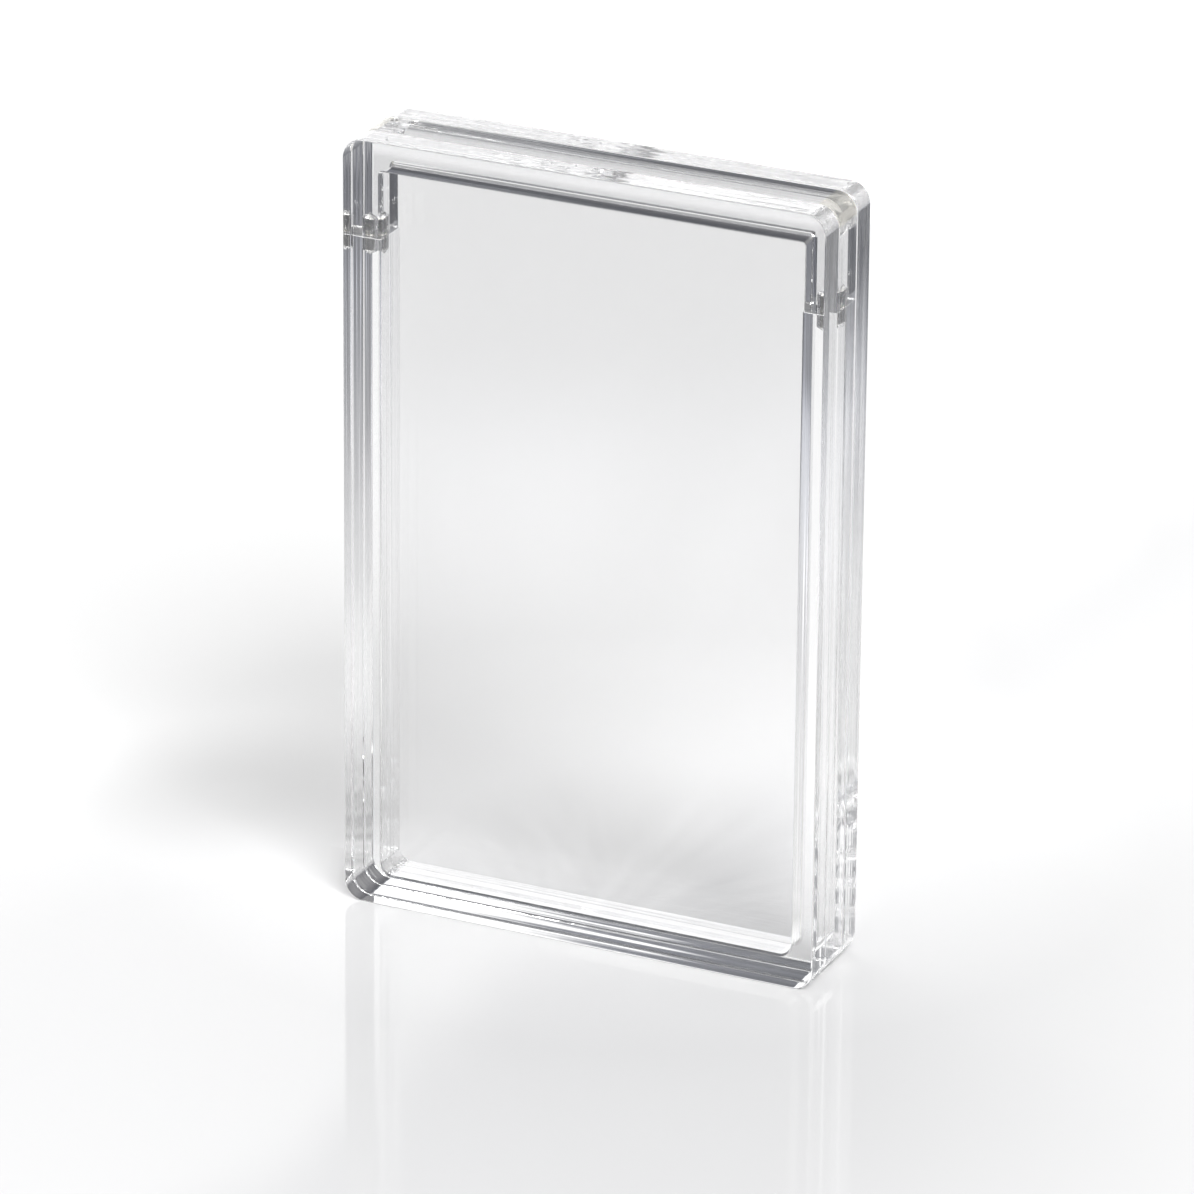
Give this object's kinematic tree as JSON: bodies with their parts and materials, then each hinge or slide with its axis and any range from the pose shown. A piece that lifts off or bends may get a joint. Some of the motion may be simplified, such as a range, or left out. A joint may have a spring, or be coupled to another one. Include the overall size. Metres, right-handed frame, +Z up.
{
  "type": "card display case",
  "caption": "Slim clear acrylic display case for a graded trading card slab: two full plates, a U-shaped middle frame and a slide-out magnetic lid.",
  "frame": {"origin": "centre of the base, on the surface the case stands on", "axes": "+Z up, +X to the right seen from the front, front face towards -Y"},
  "size_m": [0.0954, 0.02, 0.151],
  "materials": {
    "clear_acrylic": "polished clear cast acrylic, gloss, IOR 1.49",
    "magnet_nickel": "nickel-plated disc magnet, semi-bright"
  },
  "bodies": {
    "case_body": {"front_plate": "clear_acrylic", "back_plate": "clear_acrylic", "middle_frame": "clear_acrylic", "frame_magnet_left": "magnet_nickel", "frame_magnet_right": "magnet_nickel"},
    "lid": {"lid_insert": "clear_acrylic", "lid_magnet_left": "magnet_nickel", "lid_magnet_right": "magnet_nickel"}
  },
  "joints": [
    {"name": "lid_lift", "type": "slide", "parent": "case_body", "child": "lid", "axis": [0, 0, 1], "range_m": [0, 0.025]}
  ]
}
